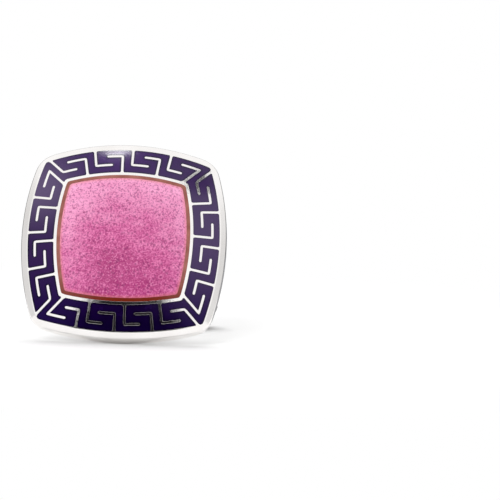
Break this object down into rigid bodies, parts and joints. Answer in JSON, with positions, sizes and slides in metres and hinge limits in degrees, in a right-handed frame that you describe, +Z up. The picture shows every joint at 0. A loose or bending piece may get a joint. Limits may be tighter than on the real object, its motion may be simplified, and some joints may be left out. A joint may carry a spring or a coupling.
{
  "type": "cufflink",
  "caption": "Cufflink with a domed, cushion-shaped face of enamelled silver in a Greek key border, and a bullet toggle that swivels on a post to hold a cuff closed.",
  "frame": {"origin": "bottom centre of the bounding box, on the ground that the cufflink stands on", "axes": "+Z up, the face looks towards -Y and leans back by 23.7 degrees, +X to the right as seen from the front, toggle crosswise along X"},
  "size_m": [0.017, 0.019, 0.016],
  "materials": {
    "silver": "polished sterling silver with fine wear scratches",
    "border_enamel": "dark purple vitreous enamel, polished flush with the silver lines",
    "panel_edge_enamel": "brown enamel, polished",
    "centre_enamel": "granular pink enamel with darker specks, polished",
    "spring_steel": "bright spring steel strip"
  },
  "bodies": {
    "head": {"face_plaque": "silver", "border_enamel": "border_enamel", "panel_edge_enamel": "panel_edge_enamel", "centre_enamel": "centre_enamel", "back_plate": "silver", "post_collar": "silver", "post": "silver"},
    "toggle": {"toggle_barrel": "silver", "toggle_cap_plain": "silver", "toggle_cap_slotted": "silver", "leaf_spring": "spring_steel", "pivot_pin": "silver"}
  },
  "joints": [
    {"name": "toggle_swivel", "type": "hinge", "parent": "head", "child": "toggle", "pos_m": [0, 0.00705, 0.0025], "axis": [0, -0.4016, -0.9158], "range_deg": [0, 90], "deforming": ["leaf_spring"]}
  ]
}
